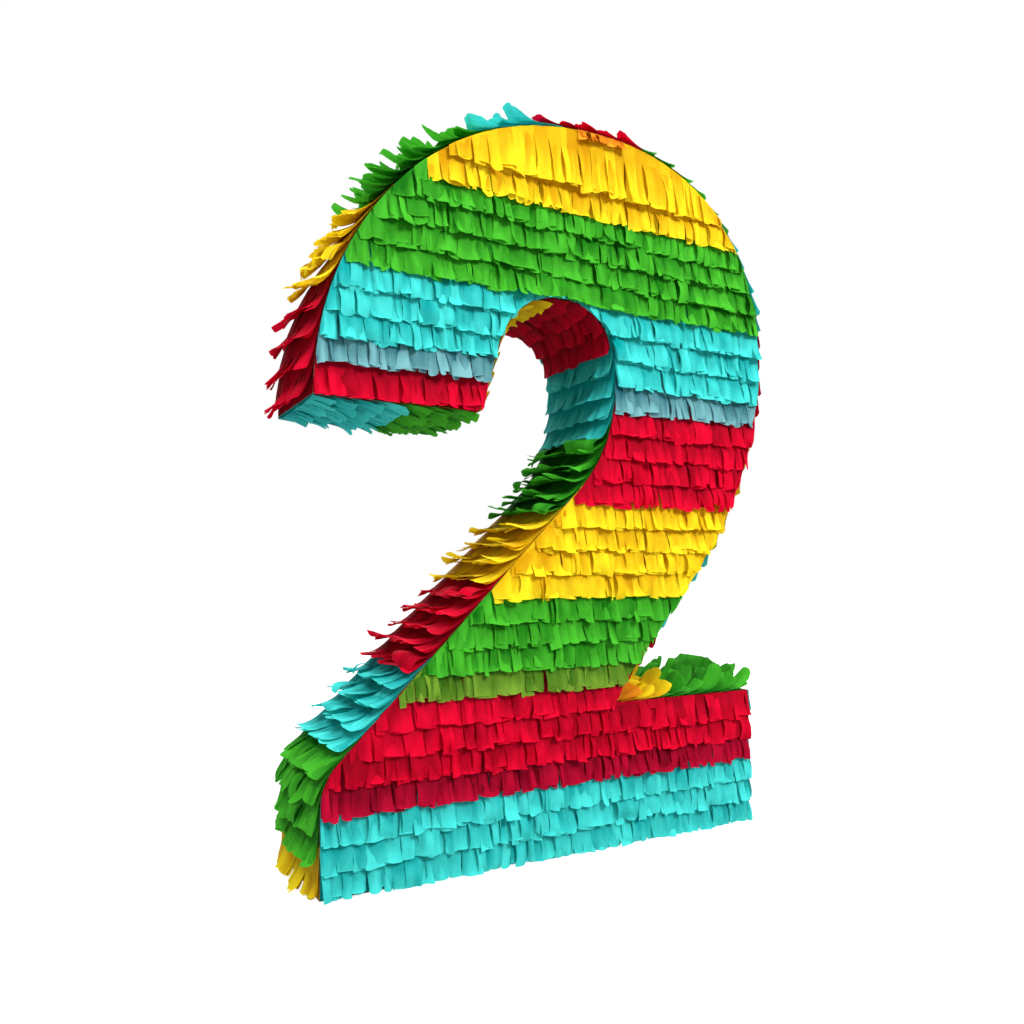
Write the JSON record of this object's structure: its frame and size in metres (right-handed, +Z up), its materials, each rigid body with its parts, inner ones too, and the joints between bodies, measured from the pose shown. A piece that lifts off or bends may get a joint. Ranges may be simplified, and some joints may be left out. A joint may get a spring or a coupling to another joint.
{
  "type": "pinata",
  "caption": "Number-two party pinata: a hollow corrugated-board figure covered with rows of coloured fringed tissue, with a fill flap in its back",
  "frame": {"origin": "middle of the footprint on the floor, half way across the width and the depth", "axes": "+Z up, +X to the right as the figure is read, the front face looks along -Y"},
  "size_m": [0.4001, 0.1, 0.5616],
  "materials": {
    "board": "matte",
    "tissue_red": "matte",
    "tissue_turquoise": "matte",
    "tissue_green": "matte",
    "tissue_yellow": "matte"
  },
  "bodies": {
    "body": {"front_panel": "board", "back_panel": "board", "hook_wall": "board", "crown_wall": "board", "bowl_wall": "board", "cheek_wall": "board", "base_top_wall": "board", "base_end_wall": "board", "floor_wall": "board", "foot_wall": "board", "stem_wall": "board", "counter_wall": "board", "hook_end_wall": "board", "hanger_patch": "board", "front_turquoise_base": "tissue_turquoise", "front_red_base": "tissue_red", "front_green_stem": "tissue_green", "front_yellow_stem": "tissue_yellow", "front_red_bowl": "tissue_red", "front_turquoise_bowl": "tissue_turquoise", "front_red_hook": "tissue_red", "front_turquoise_hook": "tissue_turquoise", "front_green_crown": "tissue_green", "front_yellow_crown": "tissue_yellow", "back_turquoise_base": "tissue_turquoise", "back_red_base": "tissue_red", "back_green_stem": "tissue_green", "back_yellow_stem": "tissue_yellow", "back_red_bowl": "tissue_red", "back_turquoise_bowl": "tissue_turquoise", "back_green_crown": "tissue_green", "back_yellow_crown": "tissue_yellow", "rim_red_hook": "tissue_red", "rim_yellow_hook": "tissue_yellow", "rim_green_shoulder": "tissue_green", "rim_turquoise_crown": "tissue_turquoise", "rim_red_crown": "tissue_red", "rim_green_bowl": "tissue_green", "rim_turquoise_bowl": "tissue_turquoise", "rim_red_bowl": "tissue_red", "rim_yellow_cheek": "tissue_yellow", "rim_turquoise_stem": "tissue_turquoise", "rim_red_crotch": "tissue_red", "rim_yellow_base_top": "tissue_yellow", "rim_green_base_top": "tissue_green", "rim_turquoise_base_end": "tissue_turquoise", "rim_yellow_foot": "tissue_yellow", "rim_green_foot": "tissue_green", "rim_turquoise_lower_stem": "tissue_turquoise", "rim_red_middle_stem": "tissue_red", "rim_yellow_upper_stem": "tissue_yellow", "rim_green_throat": "tissue_green", "rim_turquoise_counter": "tissue_turquoise", "rim_red_counter": "tissue_red", "rim_yellow_tongue": "tissue_yellow", "rim_green_hook_end": "tissue_green", "rim_turquoise_hook_end": "tissue_turquoise"},
    "fill_flap": {"flap_board": "board", "flap_fringe": "tissue_turquoise"}
  },
  "joints": [
    {"name": "fill_flap_crease", "type": "hinge", "parent": "body", "child": "fill_flap", "pos_m": [0.118, 0.048, 0.422], "axis": [1, 0, 0], "range_deg": [0, 110]}
  ]
}
